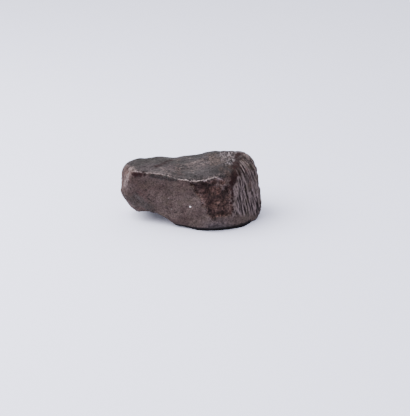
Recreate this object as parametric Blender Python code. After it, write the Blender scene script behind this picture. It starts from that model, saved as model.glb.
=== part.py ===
"""A chondrite meteorite: one hand-sized stone that rests on a flat broken foot.

The stone is a block bounded by broad fracture facets with worn, rounded edges. A smooth saddle
runs over its top, a shallow hollow of fresh break sits in its front, and its right end carries
steep parallel ridges. +X is its length, the front faces -Y, and the foot lies on z = 0.

The outer surface is the zero level of a function of place: negative inside, positive outside.
Each grid point of a divided cube moves along its own ray from the stone's middle to that level.
"""
import math

import bmesh
import bpy
import numpy as np
from mathutils import Vector

MM = 0.001

# Driving dimensions, in millimetres
LENGTH = 61.0
LUMP_HEIGHT = 0.22
LUMP_SPACING = 9.0
RIDGE_HEIGHT = 0.30
RIDGE_SPACING = 2.9
RIDGE_LEAN = 0.23
PATCH_DEPTH = 1.2
CRUMB_HEIGHT = 0.28
CRUMB_SPACING = 3.6

# The grid: quads along each side of the cube, how its rays spread along X, Y and Z, and the
# passes that split every edge whose middle lies further off the surface than the largest gap
GRID = 18
SPREAD = np.array([30.0, 18.0, 14.0])
DIVIDINGS = 3
LARGEST_GAP = 0.062
CORE = np.array([3.0, -2.0, 13.0])
REACH = 60.0
HALVINGS = 34

# Facets in the order they are cut: name, compass angle faced in degrees (0 is +X, -90 is the
# front), tilt above the horizon in degrees, a point on the facet, and the worn edge's radius
FACETS = [
    ("top right", -95, 87, (14.0, -5.0, 26.8), 2.5),
    ("top left", 150, 87, (-14.0, -4.0, 26.0), 2.5),
    ("back", 80, 10, (10.0, 15.0, 14.0), 3.0),
    ("back left", 108, 12, (-14.0, 9.3, 14.0), 3.0),
    ("back foot", 95, -38, (2.0, 14.0, 3.5), 5.0),
    ("back right", 42, 8, (25.5, 12.6, 14.0), 5.0),
    ("left end", 190, 6, (-29.8, 0.0, 16.0), 2.5),
    ("left face", 211, 20, (-30.2, -1.6, 22.0), 1.5),
    ("left top", 150, 42, (-28.2, 3.0, 23.6), 2.5),
    ("left foot", 205, -34, (-30.0, 0.0, 10.0), 2.5),
    ("left back", 150, -15, (-27.0, 9.0, 10.0), 4.0),
    ("left underside", 198, -73, (-22.0, -6.0, 4.4), 2.5),
    ("right", 10, 11, (29.1, 5.0, 12.0), 4.0),
    ("right foot", -5, -32, (30.9, 0.0, 1.6), 2.5),
    ("shoulder", -12, 28, (28.4, 2.0, 24.3), 3.5),
    ("corner", -44, 48, (17.5, -13.5, 23.2), 5.0),
    ("right front", -45, 4, (21.5, -13.0, 8.0), 4.0),
    ("right front foot", -50, -30, (23.8, -12.4, 0.0), 3.0),
    ("front bevel", -82, -26, (12.0, -14.9, 0.0), 2.0),
    ("front foot", -108, -42, (-4.0, -15.0, 2.0), 3.0),
    ("broken patch", -74, 4, (10.0, -18.7, 12.0), 2.5),
    ("front", -110, -8, (0.0, -19.2, 24.5), 1.3),
    ("underside", 0, -90, (0.0, 0.0, -0.4), 3.0),
]

# The saddle over the top: a point on its axis, the axis' compass angle, radius and edge radius
SADDLE = ((-0.5, 0.0, 67.0), 91, 42.0, 2.0)

# Shallow scoops: name, compass angle and tilt faced, middle on the surface, radius, depth, edge
SCOOPS = [
    ("saddle back", 100, 70, (-2.0, 8.5, 26.0), 20.0, 1.9, 4.0),
    ("left underside", 195, -80, (-17.5, -8.0, 4.0), 20.0, 0.5, 3.0),
    ("back hollow", 84, 8, (14.0, 15.2, 13.0), 17.0, 1.1, 1.5),
    ("back left hollow", 108, 10, (-15.0, 9.0, 15.0), 13.0, 0.9, 1.5),
    ("right hollow", 12, 12, (29.0, 6.0, 10.0), 15.0, 0.7, 1.5),
]

# The fresh break in the front: where its slanting left edge and its steep right edge are at the
# height of its roof, how far they move for each unit down, the heights of its floor and roof,
# where the roof starts to curve down and how fast, where it ends inside the stone, and the widths
# over which its left, right, floor and roof, and inner limits fade
PATCH_LEFT = (0.0, 0.50)
PATCH_RIGHT = (16.8, 0.10)
PATCH_FLOOR = 7.2
PATCH_ROOF = 23.2
PATCH_SHOULDER = (12.0, 0.17)
PATCH_FRONT = -9.0
PATCH_FADES = (1.3, 0.9, 0.8, 3.0)

# The ridges fan from an upright line behind the stone. They start right of a line in plan, given
# by its place along X level with the front and its slope, and fade over the widths RIDGE_FADES at
# that line, at the back and at their foot, which falls to the floor between two places along X
FAN_MIDDLE = (8.0, 24.0)
FAN_MM_PER_DEGREE = 0.71
RIDGE_LEFT = (17.2, 0.22)
RIDGE_FRONT = -15.0
RIDGE_BACK = 8.0
RIDGE_FOOT = 5.5
RIDGE_FOOT_FALL = (20.0, 32.0)
RIDGE_FADES = (1.5, 6.0, 2.5)

# How far the ridges wander sideways and over what spacing, and their mean strength, its swing and
# the spacing of that swing
RIDGE_WANDER = (0.8, 7.0)
RIDGE_STRENGTH = (0.7, 0.45, 6.0)

WARP_SEED = 5
LUMP_SEED = 11
CRUMB_SEED = 23
WAVES = 24


def facing(compass, tilt):
    """Unit vector at a compass angle in plan and a tilt above the horizon, both in degrees."""
    a = math.radians(compass)
    t = math.radians(tilt)
    return np.array([math.cos(a) * math.cos(t), math.sin(a) * math.cos(t), math.sin(t)])


def soft_max(a, b, radius):
    """The larger of two distances, with the corner between them rounded over the radius."""
    return np.maximum(a, b) + np.maximum(radius - np.abs(a - b), 0.0) ** 2 / (4.0 * radius)


def smooth_step(low, high, value):
    """0 below low, 1 above high, and an S-curve between them."""
    t = np.clip((value - low) / (high - low), 0.0, 1.0)
    return t * t * (3.0 - 2.0 * t)


def swell(p, spacing, seed):
    """Even random swell of about -1 to 1: a sum of cosines in random directions."""
    rng = np.random.default_rng(seed)
    ways = rng.normal(size=(WAVES, 3))
    ways /= np.linalg.norm(ways, axis=1, keepdims=True)
    lengths = spacing * rng.uniform(0.7, 1.6, WAVES)
    phases = rng.uniform(0.0, 2.0 * math.pi, WAVES)
    angles = p @ (ways * (2.0 * math.pi / lengths)[:, None]).T + phases
    return np.cos(angles).sum(axis=1) / math.sqrt(WAVES)


def facet_distance(p):
    """Facets folded together with rounded edges, then the saddle and the scoops taken out."""
    d = None
    for _, compass, tilt, point, edge in FACETS:
        plane = (p - np.array(point)) @ facing(compass, tilt)
        d = plane if d is None else soft_max(d, plane, edge)
    point, compass, radius, edge = SADDLE
    along = facing(compass, 0.0)
    arm = p - np.array(point)
    arm = arm - (arm @ along)[:, None] * along
    d = soft_max(d, radius - np.linalg.norm(arm, axis=1), edge)
    for _, compass, tilt, point, radius, depth, edge in SCOOPS:
        middle = np.array(point) + (radius - depth) * facing(compass, tilt)
        d = soft_max(d, radius - np.linalg.norm(p - middle, axis=1), edge)
    return d


def fan_angle(p):
    """Compass angle of each point, in degrees, seen from the fan's upright middle line."""
    return np.degrees(np.arctan2(p[:, 1] - FAN_MIDDLE[1], p[:, 0] - FAN_MIDDLE[0]))


def ridge_zone(p):
    """1 on the ridged right end and over its shoulder, 0 elsewhere, soft at the limits."""
    edge = RIDGE_LEFT[0] + RIDGE_LEFT[1] * (p[:, 1] - RIDGE_FRONT)
    left = smooth_step(0.0, RIDGE_FADES[0], p[:, 0] - edge)
    back = 1.0 - smooth_step(RIDGE_BACK, RIDGE_BACK + RIDGE_FADES[1], p[:, 1])
    start, end = RIDGE_FOOT_FALL
    foot = RIDGE_FOOT * np.clip((end - p[:, 0]) / (end - start), 0.0, 1.0)
    low = smooth_step(foot, foot + RIDGE_FADES[2], p[:, 2])
    return left * back * low


def ridge_relief(p):
    """Steep ridges: a cosine across the fan, which leans with height and wanders a little."""
    wander, spacing = RIDGE_WANDER
    across = fan_angle(p) * FAN_MM_PER_DEGREE + RIDGE_LEAN * p[:, 2]
    across += wander * swell(p, spacing, WARP_SEED)
    mean, swing, spacing = RIDGE_STRENGTH
    strength = mean + swing * swell(p, spacing, WARP_SEED + 1)
    return np.cos(across * (2.0 * math.pi / RIDGE_SPACING)) * strength * ridge_zone(p)


def patch_zone(p):
    """1 over the fresh break in the front: between its edges, its floor and its roof."""
    left_fade, right_fade, level_fade, inner_fade = PATCH_FADES
    down = PATCH_ROOF - p[:, 2]
    left = smooth_step(0.0, left_fade, p[:, 0] - PATCH_LEFT[0] - PATCH_LEFT[1] * down)
    right = smooth_step(0.0, right_fade, PATCH_RIGHT[0] + PATCH_RIGHT[1] * down - p[:, 0])
    low = smooth_step(PATCH_FLOOR - level_fade, PATCH_FLOOR + level_fade, p[:, 2])
    shoulder = PATCH_SHOULDER[1] * np.maximum(p[:, 0] - PATCH_SHOULDER[0], 0.0) ** 2
    high = smooth_step(-level_fade, level_fade, down - shoulder)
    front = smooth_step(PATCH_FRONT, PATCH_FRONT - inner_fade, p[:, 1])
    return left * right * low * high * front


def surface(p):
    """The stone's outer surface: facets with lumps, ridges and the crumbly fresh break."""
    patch = patch_zone(p)
    relief = LUMP_HEIGHT * swell(p, LUMP_SPACING, LUMP_SEED)
    relief += RIDGE_HEIGHT * ridge_relief(p)
    relief += (CRUMB_HEIGHT * swell(p, CRUMB_SPACING, CRUMB_SEED) - PATCH_DEPTH) * patch
    return facet_distance(p) - relief


def on_surface(rays):
    """Where each ray from the middle meets the surface, by halving the stretch that holds it."""
    near = np.zeros(len(rays))
    far = np.full(len(rays), REACH)
    for _ in range(HALVINGS):
        middle = (near + far) / 2.0
        inside = surface(CORE + rays * middle[:, None]) < 0.0
        near = np.where(inside, middle, near)
        far = np.where(inside, far, middle)
    return CORE + rays * far[:, None]


def place(bm, points):
    """Write an array of places, in millimetres, into the vertices."""
    for vertex, point in zip(bm.verts, points):
        vertex.co = point


def places(bm):
    """The vertices' places as an array, in millimetres."""
    return np.array([vertex.co[:] for vertex in bm.verts])


def move_to_surface(bm):
    """Move each vertex along its ray from the middle until it lies on the surface."""
    arms = places(bm) - CORE
    place(bm, on_surface(arms / np.linalg.norm(arms, axis=1, keepdims=True)))


def divided_cube(bm):
    """A cube divided into an even grid, with its points spread like the rays of a long stone."""
    bmesh.ops.create_cube(bm, size=2.0)
    bmesh.ops.subdivide_edges(bm, edges=bm.edges[:], cuts=GRID - 1, use_grid_fill=True)
    cube = places(bm)
    rays = np.tan(cube * math.pi / 4.0) * SPREAD
    place(bm, CORE + rays)


def divide_where_it_bends(bm):
    """Split the edges whose middles lie off the surface, and move the new points on to it.

    The first pass splits every edge of the ridged end too, because an edge that spans a whole
    ridge can have both its ends and its middle on crests.
    """
    for step in range(DIVIDINGS):
        edges = bm.edges[:]
        ends = np.array([[edge.verts[0].co[:], edge.verts[1].co[:]] for edge in edges])
        middles = ends.mean(axis=1)
        arms = middles - CORE
        on_stone = on_surface(arms / np.linalg.norm(arms, axis=1, keepdims=True))
        gaps = np.linalg.norm(on_stone - middles, axis=1)
        wanted = gaps > LARGEST_GAP
        if step == 0:
            wanted |= ridge_zone(middles) > 0.1
        bent = [edge for edge, chosen in zip(edges, wanted) if chosen]
        bmesh.ops.subdivide_edges(bm, edges=bent, cuts=1)
        move_to_surface(bm)


def cut_foot(bm):
    """Cut the stone off level at z = 0 and close it there with one flat face."""
    everything = bm.verts[:] + bm.edges[:] + bm.faces[:]
    cut = bmesh.ops.bisect_plane(bm, geom=everything, dist=0.01, plane_co=(0.0, 0.0, 0.0),
                                 plane_no=(0.0, 0.0, -1.0), clear_outer=True)
    rim = [item for item in cut["geom_cut"] if isinstance(item, bmesh.types.BMEdge)]
    for vertex in {vertex for edge in rim for vertex in edge.verts}:
        vertex.co.z = 0.0
    bmesh.ops.contextual_create(bm, geom=rim)


def to_frame(bm):
    """Scale to the driving length, and put the origin at the bottom middle of the stone's box."""
    points = places(bm)
    low = points.min(axis=0)
    high = points.max(axis=0)
    scale = LENGTH / (high[0] - low[0]) * MM
    origin = Vector(((low[0] + high[0]) / 2.0, (low[1] + high[1]) / 2.0, 0.0))
    for vertex in bm.verts:
        vertex.co = (vertex.co - origin) * scale


def stone_material():
    """Brown to violet-grey stone, dull with a faint sheen."""
    material = bpy.data.materials.new("chondrite_stone")
    material.use_nodes = True
    shader = material.node_tree.nodes["Principled BSDF"]
    shader.inputs["Base Color"].default_value = (0.115, 0.085, 0.085, 1.0)
    shader.inputs["Roughness"].default_value = 0.62
    shader.inputs["Metallic"].default_value = 0.0
    material.diffuse_color = (0.115, 0.085, 0.085, 1.0)
    return material


def make_stone():
    """The whole stone as one closed body."""
    bm = bmesh.new()
    divided_cube(bm)
    move_to_surface(bm)
    divide_where_it_bends(bm)
    cut_foot(bm)
    to_frame(bm)
    bmesh.ops.triangulate(bm, faces=bm.faces[:])
    bmesh.ops.recalc_face_normals(bm, faces=bm.faces[:])
    mesh = bpy.data.meshes.new("chondrite_stone")
    bm.to_mesh(mesh)
    bm.free()
    mesh.materials.append(stone_material())
    stone = bpy.data.objects.new("chondrite_stone", mesh)
    bpy.context.scene.collection.objects.link(stone)
    return stone


for old in list(bpy.data.objects):
    bpy.data.objects.remove(old, do_unlink=True)
make_stone()
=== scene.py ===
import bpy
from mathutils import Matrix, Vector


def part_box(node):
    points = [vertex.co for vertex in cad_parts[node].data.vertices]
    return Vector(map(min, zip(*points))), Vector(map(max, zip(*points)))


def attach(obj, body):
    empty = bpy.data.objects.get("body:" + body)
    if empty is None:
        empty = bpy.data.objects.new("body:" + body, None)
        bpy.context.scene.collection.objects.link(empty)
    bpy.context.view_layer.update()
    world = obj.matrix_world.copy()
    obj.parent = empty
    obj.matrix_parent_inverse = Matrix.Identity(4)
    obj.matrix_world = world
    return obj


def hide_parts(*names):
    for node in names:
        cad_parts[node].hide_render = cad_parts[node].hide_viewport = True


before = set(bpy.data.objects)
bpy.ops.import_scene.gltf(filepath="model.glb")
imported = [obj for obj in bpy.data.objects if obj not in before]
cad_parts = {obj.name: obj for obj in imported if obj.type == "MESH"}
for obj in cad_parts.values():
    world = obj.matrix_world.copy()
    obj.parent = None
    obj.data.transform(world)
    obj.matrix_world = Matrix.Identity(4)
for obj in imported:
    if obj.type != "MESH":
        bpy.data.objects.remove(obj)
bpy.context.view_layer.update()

"""The looks of a chondrite meteorite: one worn, hand-sized stone on a pale floor.

The stone's surface is the zero level of a function of place. Each ray of a six-sided grid
starts in the stone's middle and stops at that level, so the two parameters of a side of the
grid give a point of the surface. Functions of place also give the masks of the finish.
Lengths are in millimetres, but in metres for the view, the light, the floor and the mesh once
it is placed.
"""
import math

import bmesh
import bpy
import numpy as np
from mathutils import Vector

MM = 0.001
NODE = "chondrite_stone"

# The grid of rays: steps along each side of the cube, how the rays spread along X, Y and Z, and
# the place in the stone's middle where they start
STEPS = 124
SPREAD = np.array([30.0, 18.0, 14.0])
CORE = np.array([3.0, -2.0, 13.0])

# How far the rays reach, how far the relief may lie from the bare facets, and how often each
# stretch is halved while looking for the facets and then for the relief
REACH = 60.0
SKIN = 2.0
COARSE_HALVINGS = 24
FINE_HALVINGS = 16

# The step over which the outward direction is measured, and how near the foot's cut a corner
# counts as lying on it
SLOPE_STEP = 0.4
CUT_GAP = 0.001

# Facets in the order they are cut: name, compass angle faced in degrees (0 is +X, -90 is the
# front), tilt above the horizon in degrees, a point on the facet, and the worn edge's radius
FACETS = [
    ("top right", -95, 87, (14.0, -5.0, 26.8), 2.5),
    ("top left", 150, 87, (-14.0, -4.0, 26.0), 2.5),
    ("back", 80, 10, (10.0, 15.0, 14.0), 3.0),
    ("back left", 108, 12, (-14.0, 10.3, 14.0), 3.0),
    ("back foot", 95, -38, (2.0, 14.0, 3.5), 5.0),
    ("back right", 42, 8, (25.5, 12.6, 14.0), 5.0),
    ("left end", 190, 6, (-29.8, 0.0, 16.0), 2.5),
    ("left face", 211, 20, (-30.2, -1.6, 22.0), 1.5),
    ("left top", 150, 42, (-28.2, 3.0, 23.6), 2.5),
    ("left foot", 205, -29, (-30.2, 0.0, 10.0), 1.2),
    ("left back", 150, -15, (-27.0, 9.0, 10.0), 4.0),
    ("left underside", 198, -73, (-22.0, -6.0, 4.5), 1.0),
    ("right", 10, 8, (29.4, 5.0, 12.0), 4.0),
    ("right foot", -5, -32, (30.9, 0.0, 1.6), 2.5),
    ("shoulder", -12, 28, (29.7, 2.0, 25.2), 2.0),
    ("corner", -44, 48, (18.2, -14.0, 23.6), 4.0),
    ("right front", -45, 4, (21.5, -13.0, 8.0), 4.0),
    ("right front foot", -50, -30, (23.8, -12.4, 0.0), 3.0),
    ("front bevel", -82, -26, (12.0, -16.3, 0.0), 2.0),
    ("front foot", -108, -42, (-4.0, -15.0, 2.0), 3.0),
    ("broken patch", -74, 4, (10.0, -18.7, 12.0), 2.5),
    ("front", -110, -8, (0.0, -19.2, 24.5), 1.3),
    ("underside", 0, -90, (0.0, 0.0, -0.6), 1.6),
]

# The saddle over the top: a point on its axis, the axis' compass angle, radius and edge radius
SADDLE = ((-0.5, 0.0, 67.0), 91, 42.0, 2.0)

# Shallow scoops: compass angle and tilt faced, middle on the surface, radius, depth, edge
SCOOPS = {
    "saddle back": (100, 70, (-5.0, 9.0, 26.0), 20.0, 1.2, 3.0),
    "left underside": (195, -80, (-16.0, -12.5, 4.3), 14.0, 1.8, 1.5),
    "back hollow": (84, 8, (14.0, 15.2, 13.0), 17.0, 1.1, 1.5),
    "back left hollow": (108, 10, (-15.0, 9.0, 15.0), 13.0, 0.9, 1.5),
    "right hollow": (12, 12, (29.0, 6.0, 10.0), 15.0, 0.7, 1.5),
}

# The fresh break in the front: where its slanting left edge and its steep right edge are at the
# height of its roof, how far they move for each unit down, the heights of its floor and roof,
# where the roof starts to curve down and how fast, where it ends inside the stone, and the widths
# over which its left, right, floor and roof, and inner limits fade
PATCH_LEFT = (0.0, 0.50)
PATCH_RIGHT = (16.8, 0.10)
PATCH_FLOOR = 7.2
PATCH_ROOF = 23.2
PATCH_SHOULDER = (12.0, 0.17)
PATCH_FRONT = -9.0
PATCH_FADES = (1.3, 0.9, 0.8, 3.0)

# The ridges fan from an upright line behind the stone. They start right of a line in plan, given
# by its place along X level with the front and its slope, and fade over the widths RIDGE_FADES at
# that line, at the back and at their foot, which falls to the floor between two places along X
FAN_MIDDLE = (8.0, 24.0)
FAN_MM_PER_DEGREE = 0.71
RIDGE_LEFT = (17.2, 0.22)
RIDGE_FRONT = -15.0
RIDGE_BACK = 8.0
RIDGE_FOOT = 5.5
RIDGE_FOOT_FALL = (20.0, 32.0)
RIDGE_FADES = (1.5, 6.0, 2.5)

# How far the ridges lean sideways for each unit up, how far they wander and over what spacing, and
# their mean strength, its swing and the spacing of that swing
RIDGE_LEAN = 0.23
RIDGE_WANDER = (0.8, 7.0)
RIDGE_STRENGTH = (0.8, 0.35, 8.0)

# Height and spacing of each kind of relief. The ragged edge's height is how far it is pushed
RIDGES = (0.15, 2.9)
WRINKLES = ((0.12, 1.6), (0.09, 1.0))
LUMPS = (0.22, 9.0)
DENTS = (0.07, 3.8)
RAGGED = (0.55, 2.8)
CRUMBS = ((0.28, 3.6), (0.17, 1.7), (0.08, 0.9))
GRAIN = (0.035, 1.1)
LIP_BUMPS = (0.17, 1.4)
SHOULDER_BUMPS = (0.16, 1.8)
PITS = (0.14, 2.4)

# How deep the fresh break lies, how far the lip's bumps reach to each side, and the values of a
# swell at which a pit starts and is deepest
PATCH_DEPTH = 1.2
LIP_WIDTH = 0.7
PIT_SWELL = (1.1, 1.9)

# The rough part of the top: where it starts and where it is full, from the left, the front, the
# back and below. Its streaks slant in plan, and their length is squeezed by STREAK_SQUEEZE
SHOULDER_LEFT = (11.5, 15.0)
SHOULDER_FRONT = (-9.0, -4.0)
SHOULDER_BACK = (12.0, 6.0)
SHOULDER_LEVEL = (23.0, 24.5)
STREAK_SLOPE = 0.19
STREAK_SQUEEZE = 0.25

# Random swells: how many waves each has, how long they are in spacings, and the seeds
WAVES = 24
WAVE_LENGTHS = (0.7, 1.6)
WARP_SEED = 5
LUMP_SEED = 11
CRUMB_SEED = 23
GRAIN_SEED = 31
LIP_SEED = 41
PIT_SEED = 53
FLECK_SEED = 61
STROKE_SEED = 71
RAGGED_SEED = 83
DENT_SEED = 89
SHOULDER_SEED = 97

# Bright metal flecks in front: place along X and Z, radius and strength. They lie further forward
# than FLECK_FRONT along Y, and a fleck fades between two multiples of its radius
FLECKS = [
    (0.2, 11.7, 0.35, 1.0),
    (-9.0, 14.3, 0.30, 0.07),
    (5.6, 13.8, 0.40, 0.06),
    (-7.8, 9.1, 0.40, 0.04),
]
FLECK_FRONT = -8.0
FLECK_EDGE = (1.3, 0.6)

# Other flecks: how many are drawn, their smallest and largest radius, their strength, and how far
# the surface has to face back or up for one to be kept
OTHER_FLECKS = 40
OTHER_RADII = (0.15, 0.30)
OTHER_STRENGTH = 0.12
OTHER_FACING = (-0.3, 0.5)

# Stains, worn places, painted shade and painted sheen, as strokes over the surface: start, end,
# radius and strength
STROKES = {
    "dark": [
        # Broad dark patches on the front and on the corner
        ((-21.0, -11.5, 21.0), (-11.0, -14.5, 21.5), 4.0, 0.28),
        ((-24.0, -7.5, 12.5), (-14.0, -11.5, 9.0), 4.5, 0.20),
        ((14.5, -11.0, 25.0), (16.0, -14.5, 20.5), 2.8, 0.30),
        # Broad painted shade over the left and the right of the top
        ((-18.0, -4.0, 25.5), (-6.0, -2.0, 25.0), 6.0, 0.22),
        ((8.0, -4.0, 25.8), (13.0, -6.0, 26.0), 4.0, 0.18),
        # Painted shade in the crease across the top, in the valley between the shoulder and the
        # ridges, and beside the first ridge at the break's right edge
        ((-14.5, -6.5, 25.5), (-8.0, 2.0, 25.0), 1.0, 0.75),
        ((21.0, 5.0, 26.5), (19.8, -6.5, 25.3), 1.9, 1.0),
        ((19.6, -7.0, 25.0), (18.3, -14.0, 21.5), 2.1, 0.90),
        ((17.6, -14.5, 20.5), (18.0, -15.5, 8.0), 0.95, 0.90),
        # Painted shade under the lip at the left and in the upper part of the break
        ((-23.5, -10.7, 23.7), (-19.5, -12.2, 24.0), 1.1, 0.95),
        ((-17.0, -13.0, 24.0), (-7.0, -16.5, 23.5), 0.5, 0.60),
        ((3.5, -18.5, 22.5), (6.5, -18.0, 18.0), 1.7, 0.35),
        # Dark places low in the break and on the top near the front
        ((8.5, -17.5, 14.5), (9.5, -17.5, 11.0), 1.9, 0.45),
        ((-4.5, -12.0, 25.0), (-4.0, -13.5, 24.8), 1.2, 0.35),
    ],
    "pale": [
        ((-12.5, -7.0, 25.5), (-8.5, -14.5, 25.5), 0.55, 0.55),
        # Painted sheen across the saddle, and a painted highlight along its back edge
        ((-1.5, -2.5, 25.0), (5.0, 2.0, 25.5), 1.1, 0.45),
        ((-3.0, 7.0, 23.7), (2.0, 5.0, 24.4), 0.8, 0.50),
        ((5.7, -2.6, 25.2), (5.8, -2.8, 25.2), 0.8, 0.80),
        ((0.5, -8.0, 25.0), (1.5, -13.0, 25.0), 0.6, 0.45),
        ((-24.3, -6.8, 25.3), (-28.6, -8.3, 16.5), 1.3, 0.95),
        ((19.4, -13.5, 21.0), (19.4, -15.3, 7.5), 1.1, 0.80),
        ((11.5, -16.8, 22.3), (14.5, -16.0, 19.8), 1.3, 0.75),
        ((5.0, -19.0, 14.5), (6.5, -19.0, 11.5), 0.6, 0.30),
    ],
    "russet": [
        ((8.5, 4.0, 26.0), (12.0, -3.5, 26.0), 3.4, 0.85),
        ((13.5, -10.0, 25.5), (17.0, -12.5, 23.5), 2.4, 0.60),
        ((-5.3, 3.0, 24.7), (-4.5, -12.0, 25.0), 1.7, 0.50),
        ((16.0, -6.0, 25.7), (18.5, -10.5, 24.0), 1.7, 0.70),
        ((-22.5, -9.5, 15.5), (-19.5, -11.0, 14.0), 1.9, 0.45),
        ((11.0, -17.0, 19.0), (14.0, -16.0, 17.0), 2.2, 0.55),
        ((24.0, -6.0, 24.0), (25.5, -8.0, 18.0), 1.6, 0.45),
    ],
    "moss": [
        ((-24.5, -7.0, 11.5), (-18.0, -10.0, 8.0), 4.0, 0.55),
        ((-22.0, -3.0, 25.5), (-10.0, 3.0, 25.5), 4.5, 0.50),
        ((-16.5, -13.3, 24.2), (-6.0, -16.8, 24.0), 1.1, 0.75),
        ((14.0, 3.0, 26.3), (18.0, 0.0, 26.3), 2.5, 0.40),
    ],
}

# A stroke's edge frays by a share of its radius, over a spacing in radii, and fades between two
# multiples of the radius
STROKE_FRAY = (0.4, 1.6)
STROKE_EDGE = (1.25, 0.45)

# How near a worn edge two facets share a place, how much of the left top counts as the left end,
# and how strongly the ridges' height is stored, around the mean of a noise
FACET_BLEND = 0.5
LEFT_TOP_PART = 0.5
RIB_CONTRAST = 1.2
NOISE_MEAN = 0.5

# The values at which a mask is 0 and 1: how far the surface faces up or back, the share of the
# facets other than the nearest one, places along the axes, and the swell at which pits darken
TOP_FACING = (0.45, 0.75)
REAR_FACING = (-0.2, 0.4)
EDGE_SHARE = (0.1, 0.5)
LIP_LEFT = (-25.0, -23.0)
LIP_RIGHT = (15.0, 12.0)
LIP_BACK = (-5.0, -8.0)
LIP_LEVEL = (15.0, 18.0)
# A painted contact shadow darkens the foot: the place along Y in front of which it reaches higher,
# then the heights at which it is gone and full, in front and elsewhere
CONTACT_SHADOW_FRONT = -8.0
CONTACT_SHADOW_FRONT_LEVEL = (2.3, 1.4)
CONTACT_SHADOW_BACK_LEVEL = (0.9, 0.3)
PIT_DARKENING = (0.9, 1.8)

# Cloudy noise of the finish: its size in millimetres, its layers and how rough they make it
NOISES = {
    "broad": (9.0, 3.0, 0.50),
    "clouds": (5.0, 4.0, 0.60),
    "tint": (4.0, 2.0, 0.50),
    "clots": (2.2, 3.0, 0.60),
    "grains": (1.0, 3.0, 0.65),
    "fine": (0.45, 2.0, 0.60),
    "seam": (16.0, 1.0, 0.50),
}

# Streaks of the finish: the masks that give the place across and along them, width and length
STREAKS = {
    "ribs": ("across", "along", 0.80, 9.0),
    "hairs": ("across", "along", 0.45, 5.0),
    "brushed": ("shoulder_across", "shoulder_along", 0.60, 4.0),
}
STREAK_LAYERS = 1.0
STREAK_ROUGHNESS = 0.6

# Patterns added up from others, each with its share
BLENDS = {
    "crumbly": {"grains": 0.4, "fine": 0.6},
    "woody": {"ribs": 0.5, "hairs": 0.42, "rib": 0.08},
    "broken": {"clots": 0.5, "grains": 0.5},
    "pale_breakup": {"grains": 0.5, "hairs": 0.5},
    "speckled": {"grains": 1.4, "fine": 3.2, "clots": 0.7},
}

# The light a tone is seen in makes it brighter than the stone's own colour by 1 / STUDIO_GAIN
STUDIO_GAIN = 0.29

# Shades: a pattern, its values at which the dark and the light tone are pure, and the two tones.
# A tone is what the stone shows in even studio light, in 8-bit red, green and blue
SHADES = {
    "brown": ("broad", (0.35, 0.65), (94, 75, 72), (119, 101, 97)),
    "grey": ("broad", (0.35, 0.65), (64, 59, 60), (90, 80, 83)),
    # The foot band's greyer tone on the faces that look down: painted bounce light from the pale
    # floor
    "band": ("clots", (0.35, 0.65), (82, 73, 74), (106, 97, 101)),
    "end": ("clots", (0.30, 0.70), (80, 62, 57), (122, 98, 93)),
    "shoulder": ("brushed", (0.44, 0.58), (24, 16, 17), (150, 136, 141)),
    "crumbs": ("crumbly", (0.43, 0.57), (28, 20, 18), (98, 82, 76)),
    "ridges": ("woody", (0.43, 0.58), (30, 19, 18), (166, 146, 146)),
    "break": ("broken", (0.36, 0.62), (62, 42, 40), (126, 97, 90)),
    "moss": ("clots", (0.35, 0.65), (72, 69, 67), (98, 93, 91)),
}

# Coats of one tone over the shades: the tone, its largest share, and the pattern that brings it
# in, if any, with the values at which it starts and is full
COATS = {
    "tan": ((108, 93, 85), 0.6, "tint", (0.45, 0.65)),
    "rear pale": ((122, 100, 92), 1.0, "clouds", (0.50, 0.72)),
    "rear dark": ((62, 50, 50), 1.0, "clouds", (0.46, 0.30)),
    "russet side": ((98, 66, 64), 0.7, None, None),
    "ridge clouds": ((118, 104, 88), 0.3, "clouds", (0.46, 0.60)),
    "russet ridges": ((110, 72, 70), 0.5, None, None),
    "russet break": ((124, 90, 83), 1.0, "grains", (0.40, 0.60)),
    "break clouds": ((50, 37, 35), 0.8, "clouds", (0.54, 0.40)),
    "break border": ((158, 120, 112), 0.7, "fine", (0.50, 0.62)),
    # Pale strokes: rubbed wear, and a painted sheen and highlight over the saddle
    "pale": ((164, 142, 139), 1.0, "pale_breakup", (0.32, 0.56)),
    "lip": ((208, 186, 184), 1.0, None, None),
    "edge": ((146, 126, 124), 0.4, "grains", (0.40, 0.60)),
    # Painted shade in a strip under the overhanging lip
    "painted lip shade": ((44, 33, 33), 0.7, "clots", (0.44, 0.58)),
    # The dark strokes' tone, mostly painted shade
    "dark": ((50, 24, 25), 1.0, None, None),
    "pit": ((52, 43, 43), 0.5, None, None),
    "crack": ((36, 28, 28), 0.8, "clouds", (0.48, 0.60)),
    # Painted contact shadow where the stone meets the floor
    "painted_contact_shadow": ((16, 12, 16), 0.95, None, None),
}

# The largest share of the foot band's painted bounce light and of the russet crumbs on the top
BAND_SHARE = 0.85
CRUMB_SHARE = 0.85

# Masks with a broken edge: the pattern that pushes them, how far it pushes, and the values at
# which the pushed mask starts and is full. A stain also fades in between the STAIN_START values
FRAYS = {
    "russet": ("clots", 0.9, (0.25, 0.65)),
    "shoulder": ("clots", 0.8, (0.20, 0.70)),
    "patch": ("grains", 0.7, (0.30, 0.60)),
    "moss": ("clots", 0.7, (0.15, 0.85)),
}
STAIN_START = (0.0, 0.2)

# The break's pale border fades in and out between these values of its mask
BORDER_IN = (0.05, 0.4)
BORDER_OUT = (1.0, 0.7)

# The pale lip: how far clots push it, the places across it between which it fades in and out, and
# its beads, which start at a least strength and grow between two values of the grains
LIP_PUSH = 2.0
LIP_IN = (0.1, 0.4)
LIP_OUT = (0.95, 0.6)
BEAD_LEAST = 0.45
BEAD_GRAINS = (0.38, 0.54)

# Painted shade in a strip under the lip, as places across the lip between which it fades in and out
LIP_SHADE_IN = (0.8, 1.2)
LIP_SHADE_OUT = (2.4, 1.7)

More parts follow.
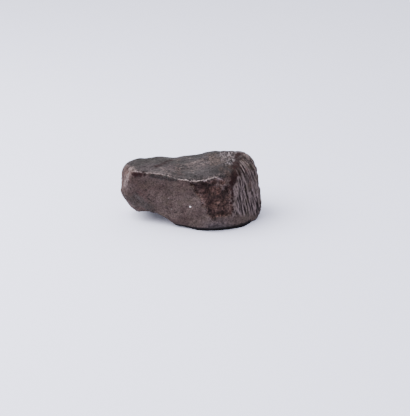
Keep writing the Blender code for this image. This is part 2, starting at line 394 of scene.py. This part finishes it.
# Strength of the dark strokes where there are no clots, and what full clots add; and how near the
# middle value of the seam noise a hairline crack starts and is full
DARK_BASE = 0.5
DARK_CLOTS = 1.2
CRACK_SEAM = (0.006, 0.002)

# How much weaker the speckle is on the ridges, and how much stronger on the top
SPECKLE_OFF_RIDGES = 0.5
SPECKLE_ON_TOP = 0.4

# Gloss: roughness of the sides, how much smoother the top is, what grains add, and the metal's
MATTE = 0.80
SATIN = 0.22
GRAIN_MATTE = 0.1
METAL_ROUGHNESS = 0.3
METAL_COLOUR = (0.90, 0.82, 0.79, 1.0)
STONE_SPECULAR = 0.1

# Fine relief of the finish: its strength, its depth in millimetres, and the height of fine grain
# and of the ridges' hairs next to grains and ribs
BUMP_STRENGTH = 0.6
BUMP_DEPTH = 0.4
FINE_HEIGHT = 0.5
HAIR_HEIGHT = 0.6

# The photograph's view: the point looked at and its distance in metres, the height of the view
# above the horizon in degrees, and the lens and the picture's width in millimetres
VIEW_POINT = (0.00589, 0.00189, 0.0035)
VIEW_DISTANCE = 0.503
VIEW_ELEVATION = 24.0
LENS = 100.0
PICTURE_WIDTH = 36.0

# The pale room, the soft box on the left and above, and the paper floor, in metres and watts
ROOM_COLOUR = (0.94, 0.95, 1.0, 1.0)
ROOM_STRENGTH = 1.75
BOX_PLACE = (-0.30, -0.06, 0.40)
BOX_SIZE = 0.45
BOX_POWER = 7.0
FLOOR_HALF = 3.0
FLOOR_COLOUR = (0.74, 0.745, 0.90, 1.0)
FLOOR_ROUGHNESS = 0.9


def facing(compass, tilt):
    """Unit vector at a compass angle in plan and a tilt above the horizon, both in degrees."""
    turn = math.radians(compass)
    rise = math.radians(tilt)
    level = math.cos(rise)
    return np.array([math.cos(turn) * level, math.sin(turn) * level, math.sin(rise)])


def soft_max(a, b, radius):
    """The larger of two distances, with the corner between them rounded over the radius."""
    return np.maximum(a, b) + np.maximum(radius - np.abs(a - b), 0.0) ** 2 / (4.0 * radius)


def smooth_step(low, high, value):
    """0 below low, 1 above high, and an S-curve between them."""
    share = np.clip((value - low) / (high - low), 0.0, 1.0)
    return share * share * (3.0 - 2.0 * share)


def swell(p, spacing, seed):
    """Even random swell of about -1 to 1: a sum of cosines in random directions."""
    rng = np.random.default_rng(seed)
    ways = rng.normal(size=(WAVES, 3))
    ways /= np.linalg.norm(ways, axis=1, keepdims=True)
    lengths = spacing * rng.uniform(*WAVE_LENGTHS, WAVES)
    phases = rng.uniform(0.0, 2.0 * math.pi, WAVES)
    angles = p @ (ways * (2.0 * math.pi / lengths)[:, None]).T + phases
    return np.cos(angles).sum(axis=1) / math.sqrt(WAVES)


def facet_planes(p):
    """Signed distance of each point from each facet's plane, by the facet's name."""
    return {name: (p - np.array(point)) @ facing(compass, tilt)
            for name, compass, tilt, point, _ in FACETS}


def saddle_distance(p):
    """Distance into the saddle's cylinder: its radius less the distance from its axis."""
    point, compass, radius, _ = SADDLE
    along = facing(compass, 0.0)
    arm = p - np.array(point)
    arm = arm - (arm @ along)[:, None] * along
    return radius - np.linalg.norm(arm, axis=1)


def scoop_distance(p, name):
    """Distance into a scoop's sphere, whose middle stands off the surface by radius - depth."""
    compass, tilt, point, radius, depth, _ = SCOOPS[name]
    middle = np.array(point) + (radius - depth) * facing(compass, tilt)
    return radius - np.linalg.norm(p - middle, axis=1)


def facet_distance(p):
    """Facets folded together with rounded edges, then the saddle and the scoops taken out."""
    planes = facet_planes(p)
    away = None
    for name, _, _, _, edge in FACETS:
        away = planes[name] if away is None else soft_max(away, planes[name], edge)
    away = soft_max(away, saddle_distance(p), SADDLE[3])
    for name, scoop in SCOOPS.items():
        away = soft_max(away, scoop_distance(p, name), scoop[5])
    return away


def fan_angle(p):
    """Compass angle of each point, in degrees, seen from the fan's upright middle line."""
    return np.degrees(np.arctan2(p[:, 1] - FAN_MIDDLE[1], p[:, 0] - FAN_MIDDLE[0]))


def ridge_zone(p):
    """1 on the ridged right end and over its shoulder, 0 elsewhere, soft at the limits."""
    edge = RIDGE_LEFT[0] + RIDGE_LEFT[1] * (p[:, 1] - RIDGE_FRONT)
    left = smooth_step(0.0, RIDGE_FADES[0], p[:, 0] - edge)
    back = 1.0 - smooth_step(RIDGE_BACK, RIDGE_BACK + RIDGE_FADES[1], p[:, 1])
    start, end = RIDGE_FOOT_FALL
    foot = RIDGE_FOOT * np.clip((end - p[:, 0]) / (end - start), 0.0, 1.0)
    low = smooth_step(foot, foot + RIDGE_FADES[2], p[:, 2])
    return left * back * low


def ridge_wave(p, spacing, seed):
    """A cosine across the fan, which leans with height, wanders and comes and goes."""
    wander, wide = RIDGE_WANDER
    across = fan_angle(p) * FAN_MM_PER_DEGREE + RIDGE_LEAN * p[:, 2] + wander * swell(p, wide, seed)
    mean, swing, wide = RIDGE_STRENGTH
    strength = mean + swing * swell(p, wide, seed + 1)
    return np.cos(across * (2.0 * math.pi / spacing)) * strength


def ridge_relief(p):
    """The ridges and two sizes of finer wrinkles among them, added up; each takes two seeds."""
    relief = np.zeros(len(p))
    for step, (height, spacing) in enumerate((RIDGES,) + WRINKLES):
        relief += height * ridge_wave(p, spacing, WARP_SEED + 2 * step)
    return relief


def patch_zone(p):
    """1 over the fresh break in the front: between its edges, its floor and its roof."""
    left_fade, right_fade, level_fade, inner_fade = PATCH_FADES
    down = PATCH_ROOF - p[:, 2]
    left = smooth_step(0.0, left_fade, p[:, 0] - PATCH_LEFT[0] - PATCH_LEFT[1] * down)
    right = smooth_step(0.0, right_fade, PATCH_RIGHT[0] + PATCH_RIGHT[1] * down - p[:, 0])
    low = smooth_step(PATCH_FLOOR - level_fade, PATCH_FLOOR + level_fade, p[:, 2])
    shoulder = PATCH_SHOULDER[1] * np.maximum(p[:, 0] - PATCH_SHOULDER[0], 0.0) ** 2
    high = smooth_step(-level_fade, level_fade, down - shoulder)
    front = smooth_step(PATCH_FRONT, PATCH_FRONT - inner_fade, p[:, 1])
    return left * right * low * high * front


def ragged(p):
    """Each point pushed a little along X and Z by random swells, so that straight edges fray."""
    push, spacing = RAGGED
    moved = p.copy()
    for step, axis in enumerate((0, 2)):
        moved[:, axis] += push * swell(p, spacing, RAGGED_SEED + step)
    return moved


def shoulder_zone(p):
    """1 on the rough part of the top, left of the ridges, and 0 elsewhere."""
    left = smooth_step(*SHOULDER_LEFT, p[:, 0])
    level = smooth_step(*SHOULDER_FRONT, p[:, 1]) * smooth_step(*SHOULDER_BACK, p[:, 1])
    return left * level * smooth_step(*SHOULDER_LEVEL, p[:, 2])


def brushed(p):
    """Each point with its place along the shoulder's streaks shortened, to draw a swell out."""
    drawn = p.copy()
    drawn[:, 0] += STREAK_SLOPE * p[:, 1]
    drawn[:, 1] *= STREAK_SQUEEZE
    return drawn


def lip_place(p):
    """Signed place across the worn lip between top and front: 0 on it, positive below it.

    It is the largest distance from a plane in front less the largest from a surface on top.
    """
    planes = facet_planes(p)
    side = np.maximum(planes["front"], planes["broken patch"])
    top = np.maximum(np.maximum(planes["top right"], planes["top left"]), saddle_distance(p))
    top = np.maximum(top, planes["corner"])
    return side - top


def surface(p):
    """The stone's outer surface: the distance from the facets less the height of all the relief.

    The relief is lumps and dents, ridges, the shoulder's bumps, crumbs in the sunken fresh break,
    grain and the lip's bumps, each a swell times the zone it lies in, less the pits.
    """
    patch = patch_zone(ragged(p))
    lip = np.exp(-(lip_place(p) / LIP_WIDTH) ** 2)
    relief = LUMPS[0] * swell(p, LUMPS[1], LUMP_SEED) - PATCH_DEPTH * patch
    relief += DENTS[0] * swell(p, DENTS[1], DENT_SEED)
    relief += ridge_relief(p) * ridge_zone(p)
    height, spacing = SHOULDER_BUMPS
    relief += height * swell(brushed(p), spacing, SHOULDER_SEED) * shoulder_zone(p)
    for step, (height, spacing) in enumerate(CRUMBS):
        relief += height * swell(p, spacing, CRUMB_SEED + step) * patch
    relief += GRAIN[0] * swell(p, GRAIN[1], GRAIN_SEED)
    relief += LIP_BUMPS[0] * swell(p, LIP_BUMPS[1], LIP_SEED) * lip
    relief -= PITS[0] * smooth_step(*PIT_SWELL, swell(p, PITS[1], PIT_SEED))
    return facet_distance(p) - relief


def meet(distance, rays, near, far, halvings):
    """Where a distance function is zero along each ray, by halving the stretch that holds it."""
    for _ in range(halvings):
        middle = (near + far) / 2.0
        inside = distance(CORE + rays * middle[:, None]) < 0.0
        near = np.where(inside, middle, near)
        far = np.where(inside, far, middle)
    return far


def stone_grid(steps):
    """Points and quads of the surface over the six sides of a cube, joined along its edges.

    On each side the two parameters s and t run from -1 to 1. The ray through them has tan(45 s)
    and tan(45 t) degrees on two axes and 1 on the third, times the spread, and the point is where
    that ray meets the surface.
    """
    s, t = np.meshgrid(np.arange(steps + 1), np.arange(steps + 1), indexing="ij")
    corner = (np.arange(steps)[:, None] * (steps + 1) + np.arange(steps)[None, :]).ravel()
    quad = np.stack([corner, corner + steps + 1, corner + steps + 2, corner + 1], axis=1)
    places = []
    quads = []
    for axis in range(3):
        for end in (0, steps):
            side = np.empty((s.size, 3), dtype=np.int64)
            side[:, axis] = end
            side[:, (axis + 1) % 3] = s.ravel()
            side[:, (axis + 2) % 3] = t.ravel()
            quads.append((quad if end else quad[:, ::-1]) + len(places) * s.size)
            places.append(side)
    places = np.concatenate(places)
    # Corners that sides of the cube share have the same key and become one point
    keys = (places[:, 0] * (steps + 1) + places[:, 1]) * (steps + 1) + places[:, 2]
    _, first, back = np.unique(keys, return_index=True, return_inverse=True)
    rays = np.tan((2.0 * places[first] / steps - 1.0) * math.pi / 4.0) * SPREAD
    rays /= np.linalg.norm(rays, axis=1, keepdims=True)
    near = np.zeros(len(rays))
    coarse = meet(facet_distance, rays, near, near + REACH, COARSE_HALVINGS)
    fine = meet(surface, rays, coarse - SKIN, coarse + SKIN, FINE_HALVINGS)
    return CORE + rays * fine[:, None], back.ravel()[np.concatenate(quads)]


def cut_foot(mesh):
    """Cut the stone off level at z = 0 and close it there with one flat face."""
    bm = bmesh.new()
    bm.from_mesh(mesh)
    everything = bm.verts[:] + bm.edges[:] + bm.faces[:]
    cut = bmesh.ops.bisect_plane(bm, geom=everything, dist=CUT_GAP, plane_co=(0.0, 0.0, 0.0),
                                 plane_no=(0.0, 0.0, -1.0), clear_outer=True)
    rim = [item for item in cut["geom_cut"] if isinstance(item, bmesh.types.BMEdge)]
    bmesh.ops.contextual_create(bm, geom=rim)
    bm.to_mesh(mesh)
    bm.free()


def outward(p):
    """Outward direction of the facets at each point: the slope of their distance function.

    Along each axis it is the distance one step ahead less that one step behind, and the three
    together are made one unit long.
    """
    slope = np.stack([facet_distance(p + SLOPE_STEP * axis) - facet_distance(p - SLOPE_STEP * axis)
                      for axis in np.eye(3)], axis=1)
    return slope / np.linalg.norm(slope, axis=1, keepdims=True)


def fleck(away, radius, strength):
    """A fleck's strength near its middle, falling to 0 a little past its radius."""
    full, faded = FLECK_EDGE[1] * radius, FLECK_EDGE[0] * radius
    return strength * smooth_step(faded, full, away)


def fleck_mask(p, out):
    """1 on the metal flecks, 0 elsewhere: discs around places in front and scattered points."""
    rng = np.random.default_rng(FLECK_SEED)
    mask = np.zeros(len(p))
    for x, z, radius, strength in FLECKS:
        away = np.hypot(p[:, 0] - x, p[:, 2] - z) + REACH * (p[:, 1] > FLECK_FRONT)
        mask = np.maximum(mask, fleck(away, radius, strength))
    back, up = OTHER_FACING
    for index in rng.integers(0, len(p), OTHER_FLECKS):
        radius = rng.uniform(*OTHER_RADII)
        if out[index, 1] > back or out[index, 2] > up:
            away = np.linalg.norm(p - p[index], axis=1)
            mask = np.maximum(mask, fleck(away, radius, OTHER_STRENGTH))
    return mask


def stroke(p, start, end, radius, seed):
    """1 near the line from start to end, falling to 0 at about a radius, with a frayed edge."""
    start = np.array(start)
    along = np.array(end) - start
    share = np.clip((p - start) @ along / (along @ along), 0.0, 1.0)
    away = np.linalg.norm(p - start - share[:, None] * along, axis=1)
    away += STROKE_FRAY[0] * radius * swell(p, STROKE_FRAY[1] * radius, seed)
    return smooth_step(STROKE_EDGE[0] * radius, STROKE_EDGE[1] * radius, away)


def stroke_mask(p, name):
    """The strongest of the strokes of one kind at each point."""
    mask = np.zeros(len(p))
    for step, (start, end, radius, strength) in enumerate(STROKES[name]):
        mask = np.maximum(mask, strength * stroke(p, start, end, radius, STROKE_SEED + step))
    return mask


def facet_shares(p):
    """Each facet's share of each point, by name, and the share of all but the largest.

    A facet counts by the exponential of its plane's distance over FACET_BLEND, and the shares of
    a point add up to 1, so they change hands smoothly across a worn edge.
    """
    planes = facet_planes(p)
    power = np.exp(np.stack(list(planes.values()), axis=1) / FACET_BLEND)
    total = power.sum(axis=1, keepdims=True)
    return dict(zip(planes, (power / total).T)), 1.0 - power.max(axis=1) / power.sum(axis=1)


def lip_run(p):
    """1 along the stretch of the lip that is worn pale, 0 beyond its ends, behind and below."""
    run = smooth_step(*LIP_RIGHT, p[:, 0]) * smooth_step(*LIP_LEFT, p[:, 0])
    return run * smooth_step(*LIP_BACK, p[:, 1]) * smooth_step(*LIP_LEVEL, p[:, 2])


def painted_contact_shadow(p):
    """1 on the painted contact shadow where the stone meets the floor, which reaches higher in front,
    and 0 above it.
    """
    return np.where(p[:, 1] < CONTACT_SHADOW_FRONT, smooth_step(*CONTACT_SHADOW_FRONT_LEVEL, p[:, 2]),
                    smooth_step(*CONTACT_SHADOW_BACK_LEVEL, p[:, 2]))


def masks(p):
    """Numbers over the surface that say which finish a place has, and places for the streaks."""
    out = outward(p)
    share, others = facet_shares(p)
    ridged = ridge_zone(p)
    end = share["left end"] + share["left face"] + LEFT_TOP_PART * share["left top"]
    found = {
        "patch": patch_zone(ragged(p)),
        "top": smooth_step(*TOP_FACING, out[:, 2]),
        "ridged": ridged,
        "rib": NOISE_MEAN + RIB_CONTRAST * ridge_relief(p),
        "across": fan_angle(p) * FAN_MM_PER_DEGREE + RIDGE_LEAN * p[:, 2],
        "along": p[:, 2],
        "shoulder": shoulder_zone(p) * (1.0 - ridged),
        "shoulder_across": p[:, 0] + STREAK_SLOPE * p[:, 1],
        "shoulder_along": p[:, 1],
        "end": np.clip(end, 0.0, 1.0),
        # The foot band, greyed as painted bounce light from the floor
        "band": share["front bevel"] + share["right front foot"] + share["right foot"],
        "lip": lip_place(p),
        "lip_run": lip_run(p),
        # Painted contact shadow at the foot
        "painted_contact_shadow": painted_contact_shadow(p),
        "edge": smooth_step(*EDGE_SHARE, others),
        "rear": smooth_step(*REAR_FACING, out[:, 1]) * (1.0 - ridged),
        "pit": smooth_step(*PIT_DARKENING, swell(p, PITS[1], PIT_SEED)),
        "fleck": fleck_mask(p, out),
    }
    for name in STROKES:
        found[name] = stroke_mask(p, name)
    return found


def to_frame(p, box):
    """Lay the surface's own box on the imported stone's box, in metres."""
    low = p.min(axis=0)
    size = p.max(axis=0) - low
    target = np.array(box)
    return target[0] + (p - low) / size * (target[1] - target[0])


def make_stone():
    """The stone as one closed mesh with its masks as attributes."""
    points, quads = stone_grid(STEPS)
    mesh = bpy.data.meshes.new("weathered_stone")
    mesh.from_pydata(points, [], quads)
    cut_foot(mesh)
    flat = np.empty(len(mesh.vertices) * 3, dtype=np.float32)
    mesh.vertices.foreach_get("co", flat)
    points = flat.reshape(-1, 3).astype(float)
    # The corners on the cut are made exactly level
    points[np.abs(points[:, 2]) < CUT_GAP, 2] = 0.0
    for name, values in masks(points).items():
        attribute = mesh.attributes.new(name, "FLOAT", "POINT")
        attribute.data.foreach_set("value", values.astype(np.float32))
    placed = to_frame(points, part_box(NODE)).astype(np.float32)
    mesh.vertices.foreach_set("co", placed.ravel())
    mesh.update()
    mesh.shade_smooth()
    stone = bpy.data.objects.new("weathered_stone", mesh)
    bpy.context.scene.collection.objects.link(stone)
    return stone


class Wire:
    """A shader socket that adds a Math node for each arithmetic sign used on it."""

    def __init__(self, shader, socket):
        self.shader = shader
        self.socket = socket

    def math(self, operation, *values):
        """Add a Math node that works on the values in their order."""
        return self.shader.add("ShaderNodeMath", {"operation": operation}, dict(enumerate(values)))

    def __add__(self, other):
        return self.math("ADD", self, other)

    def __sub__(self, other):
        return self.math("SUBTRACT", self, other)

    def __mul__(self, other):
        return self.math("MULTIPLY", self, other)

    def __radd__(self, other):
        return self.math("ADD", other, self)

    def __rsub__(self, other):
        return self.math("SUBTRACT", other, self)

    def __rmul__(self, other):
        return self.math("MULTIPLY", other, self)

    def clamp(self):
        """The value kept between 0 and 1."""
        return self.shader.add("ShaderNodeClamp", {}, {0: self, 1: 0.0, 2: 1.0})

    def between(self, low, high):
        """0 at low, 1 at high and an S-curve between; low may be the larger."""
        return self.shader.add("ShaderNodeMapRange", {"interpolation_type": "SMOOTHSTEP"},
                               {0: self, 1: low, 2: high, 3: 0.0, 4: 1.0})


class Shader:
    """One material and the nodes that make its finish."""

    def __init__(self, name):
        self.material = bpy.data.materials.new(name)
        self.material.use_nodes = True
        self.tree = self.material.node_tree
        self.surface = self.tree.nodes["Principled BSDF"]
        self.place = self.add("ShaderNodeTexCoord", {}, {}, "Object")

    def add(self, kind, settings, inputs, output=0):
        """Add a node: settings first, then the values or links of its sockets."""
        node = self.tree.nodes.new(kind)
        for key, value in settings.items():
            setattr(node, key, value)
        for key, value in inputs.items():
            self.join(node.inputs[key], value)
        return Wire(self, node.outputs[output])

    def join(self, socket, value):
        """Link a wire to a socket, or set the socket's value."""
        if isinstance(value, Wire):
            self.tree.links.new(value.socket, socket)
        else:
            socket.default_value = value

    def feed(self, name, value):
        """Link a wire to a socket of the surface itself, or set that socket's value."""
        self.join(self.surface.inputs[name], value)

    def mask(self, name):
        """A number stored on the surface."""
        return self.add("ShaderNodeAttribute", {"attribute_name": name}, {}, "Fac")

    def noise(self, size, layers, roughness):
        """Cloudy noise from 0 to 1 with features of a size in millimetres."""
        return self.add("ShaderNodeTexNoise", {}, {
            "Vector": self.place, "Scale": 1.0 / (size * MM), "Detail": layers,
            "Roughness": roughness}, "Fac")

    def streaks(self, across, along, width, length):
        """Noise from 0 to 1 drawn out into streaks of a width and length in millimetres."""
        vector = self.add("ShaderNodeCombineXYZ", {}, {
            0: across * (1.0 / width), 1: along * (1.0 / length)})
        return self.add("ShaderNodeTexNoise", {}, {
            "Vector": vector, "Scale": 1.0, "Detail": STREAK_LAYERS,
            "Roughness": STREAK_ROUGHNESS}, "Fac")

    def mix(self, factor, first, second):
        """Blend two colours by a factor."""
        return self.add("ShaderNodeMix", {"data_type": "RGBA"}, {0: factor, 6: first, 7: second}, 2)

    def scale(self, colour, factor):
        """A colour times a number."""
        return self.add("ShaderNodeVectorMath", {"operation": "SCALE"}, {0: colour, 3: factor})


def tone(seen):
    """The stone's own colour for the 8-bit tone it shows in even studio light.

    The tone is made linear by the usual screen curve and then scaled by STUDIO_GAIN.
    """
    seen = np.array(seen) / 255.0
    linear = np.where(seen <= 0.04045, seen / 12.92, ((seen + 0.055) / 1.055) ** 2.4)
    return tuple(linear * STUDIO_GAIN) + (1.0,)


class StoneFinish(Shader):
    """The stone's finish: shades that a pattern mixes, and coats of one tone laid over them."""

    def __init__(self, name):
        super().__init__(name)
        self.pattern = {kind: self.noise(*values) for kind, values in NOISES.items()}
        for kind, (across, along, width, length) in STREAKS.items():
            self.pattern[kind] = self.streaks(self.mask(across), self.mask(along), width, length)
        self.pattern["rib"] = self.mask("rib")
        for kind, shares in BLENDS.items():
            self.pattern[kind] = sum(share * self.pattern[part] for part, share in shares.items())
        self.russet = self.stain("russet")

    def shade(self, name):
        """A dark and a light tone mixed by a pattern."""
        pattern, limits, dark, light = SHADES[name]
        return self.mix(self.pattern[pattern].between(*limits), tone(dark), tone(light))

    def coat(self, colour, name, where=1.0):
        """A colour under a coat of one tone: its share times a mask times its pattern, if any."""
        seen, share, pattern, limits = COATS[name]
        cover = share * where
        if pattern:
            cover = cover * self.pattern[pattern].between(*limits)
        return self.mix(cover, colour, tone(seen))

    def frayed(self, name):
        """A mask with a broken edge: a pattern pushes it up and down before it is made steep."""
        pattern, push, limits = FRAYS[name]
        return (self.mask(name) + push * (self.pattern[pattern] - NOISE_MEAN)).between(*limits)

    def stain(self, name):
        """A frayed mask that stays within the reach of its strokes."""
        return self.frayed(name) * self.mask(name).between(*STAIN_START)

    def old_faces(self):
        """Clouded brown sides and back, a grey top, a foot band greyed by painted bounce light, the
        pale left end.
        """
        rear = self.mask("rear")
        brown = self.coat(self.shade("brown"), "tan")
        brown = self.coat(brown, "rear pale", rear)
        brown = self.coat(brown, "rear dark", rear)
        colour = self.mix(self.mask("top"), brown, self.shade("grey"))
        # The foot band greyed: painted bounce light from the pale floor
        colour = self.mix(BAND_SHARE * self.mask("band").clamp(), colour, self.shade("band"))
        return self.mix(self.mask("end"), colour, self.shade("end"))

    def rough_top(self, colour):
        """The brushed shoulder, russet crumbs on the top and a russet tint on the sides."""
        top = self.mask("top")
        colour = self.mix(self.frayed("shoulder"), colour, self.shade("shoulder"))
        colour = self.mix(CRUMB_SHARE * self.russet * top, colour, self.shade("crumbs"))
        return self.coat(colour, "russet side", self.russet * (1.0 - top))

    def ridged_end(self, colour):
        """Pale and dark streaks down the ridged right end, clouded with tan and russet."""
        ridges = self.coat(self.shade("ridges"), "ridge clouds")
        ridges = self.coat(ridges, "russet ridges", self.russet)
        return self.mix(self.mask("ridged"), colour, ridges)

    def fresh_break(self, colour):
        """The crumbled break in front: russet grains, dark clouds and a pale border."""
        broken = self.coat(self.shade("break"), "russet break", self.russet)
        broken = self.coat(broken, "break clouds")
        colour = self.mix(self.frayed("patch"), colour, broken)
        patch = self.mask("patch")
        border = patch.between(*BORDER_IN) * patch.between(*BORDER_OUT)
        return self.coat(colour, "break border", border)

    def worn_and_sheen_places(self, colour):
        """Pale strokes of wear and of painted sheen, the beaded lip, the moss-grey film and rubbed
        edges.
        """
        colour = self.coat(colour, "pale", self.mask("pale"))
        lip = self.mask("lip") + LIP_PUSH * (self.pattern["clots"] - NOISE_MEAN)
        lip = lip.between(*LIP_IN) * lip.between(*LIP_OUT) * self.mask("lip_run")
        beads = BEAD_LEAST + (1.0 - BEAD_LEAST) * self.pattern["grains"].between(*BEAD_GRAINS)
        colour = self.coat(colour, "lip", lip * beads)
        colour = self.mix(self.stain("moss"), colour, self.shade("moss"))
        return self.coat(colour, "edge", self.mask("edge"))

    def shade_and_dark_places(self, colour):
        """Painted shade under the lip and in most dark strokes, pits, back cracks, painted contact
        shadow.
        """
        lip = self.mask("lip")
        # Painted shade in a strip just under the lip
        under = lip.between(*LIP_SHADE_IN) * lip.between(*LIP_SHADE_OUT) * self.mask("lip_run")
        colour = self.coat(colour, "painted lip shade", under)
        strength = DARK_BASE + DARK_CLOTS * self.pattern["clots"]
        # Dark strokes, mostly painted shade in creases, under the lip and on the top
        colour = self.coat(colour, "dark", (self.mask("dark") * strength).clamp())
        colour = self.coat(colour, "pit", self.mask("pit"))
        seam = self.pattern["seam"]
        crack = seam.math("ABSOLUTE", seam - NOISE_MEAN).between(*CRACK_SEAM)
        colour = self.coat(colour, "crack", crack * self.mask("rear"))
        # Painted contact shadow along the foot
        return self.coat(colour, "painted_contact_shadow", self.mask("painted_contact_shadow"))

    def speckle(self, colour):
        """A colour made lighter and darker from grain to grain: the pattern less its mean."""
        swing = self.pattern["speckled"] - NOISE_MEAN * sum(BLENDS["speckled"].values())
        strength = 1.0 - SPECKLE_OFF_RIDGES * self.mask("ridged") + SPECKLE_ON_TOP * self.mask("top")
        return self.scale(colour, 1.0 + swing * strength)

    def fine_relief(self):
        """Grain all over, and streaks on the ridges and on the shoulder, as a bump."""
        grain = self.pattern["grains"] + FINE_HEIGHT * self.pattern["fine"]
        ridges = self.pattern["ribs"] + HAIR_HEIGHT * self.pattern["hairs"]
        shoulder = self.mask("shoulder") * self.pattern["brushed"]
        return self.add("ShaderNodeBump", {}, {
            "Strength": BUMP_STRENGTH, "Distance": BUMP_DEPTH * MM,
            "Height": grain + self.mask("ridged") * ridges + shoulder})


def stone_finish():
    """Brown matte sides, satin grey top, ridged end and dark fresh break, with metal flecks."""
    finish = StoneFinish("weathered_chondrite")
    colour = finish.rough_top(finish.old_faces())
    colour = finish.fresh_break(finish.ridged_end(colour))
    colour = finish.shade_and_dark_places(finish.worn_and_sheen_places(colour))
    metal = finish.mask("fleck")
    finish.feed("Base Color", finish.mix(metal, finish.speckle(colour), METAL_COLOUR))
    rough = MATTE - SATIN * finish.mask("top") + GRAIN_MATTE * finish.pattern["grains"]
    finish.feed("Roughness", rough * (1.0 - metal) + METAL_ROUGHNESS * metal)
    finish.feed("Metallic", metal)
    finish.feed("Specular IOR Level", STONE_SPECULAR)
    finish.feed("Normal", finish.fine_relief())
    return finish.material


def floor_finish():
    """Plain pale paper."""
    paper = Shader("pale_paper")
    paper.feed("Base Color", FLOOR_COLOUR)
    paper.feed("Roughness", FLOOR_ROUGHNESS)
    return paper.material


def make_floor():
    """A wide level sheet at the stone's foot; its two parameters are the places along X and Y."""
    half = FLOOR_HALF
    mesh = bpy.data.meshes.new("floor")
    mesh.from_pydata([(-half, -half, 0.0), (half, -half, 0.0), (half, half, 0.0), (-half, half, 0.0)],
                     [], [(0, 1, 2, 3)])
    mesh.materials.append(floor_finish())
    floor = bpy.data.objects.new("floor", mesh)
    bpy.context.scene.collection.objects.link(floor)


def aim(item, place, target):
    """Put a camera or light at a place, looking at a target."""
    item.location = place
    item.rotation_euler = (Vector(place) - Vector(target)).to_track_quat("Z", "Y").to_euler()


def make_camera():
    """The photograph's view: from the front, above the horizon, at a distance from the target."""
    elevation = math.radians(VIEW_ELEVATION)
    target = Vector(VIEW_POINT)
    back = Vector((0.0, -math.cos(elevation), math.sin(elevation)))
    data = bpy.data.cameras.new("camera")
    data.lens = LENS
    data.sensor_width = PICTURE_WIDTH
    camera = bpy.data.objects.new("camera", data)
    bpy.context.scene.collection.objects.link(camera)
    aim(camera, target + back * VIEW_DISTANCE, target)
    bpy.context.scene.camera = camera


def make_light():
    """A pale room and one broad soft box on the left and above, aimed at the stone's middle."""
    world = bpy.data.worlds.new("studio")
    world.use_nodes = True
    shade = world.node_tree.nodes["Background"]
    shade.inputs["Color"].default_value = ROOM_COLOUR
    shade.inputs["Strength"].default_value = ROOM_STRENGTH
    bpy.context.scene.world = world
    data = bpy.data.lights.new("soft_box", "AREA")
    data.shape = "SQUARE"
    data.size = BOX_SIZE
    data.energy = BOX_POWER
    light = bpy.data.objects.new("soft_box", data)
    bpy.context.scene.collection.objects.link(light)
    aim(light, BOX_PLACE, (0.0, 0.0, 0.0))


stone = make_stone()
stone.data.materials.append(stone_finish())
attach(stone, "root")
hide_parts(NODE)
make_floor()
make_light()
make_camera()
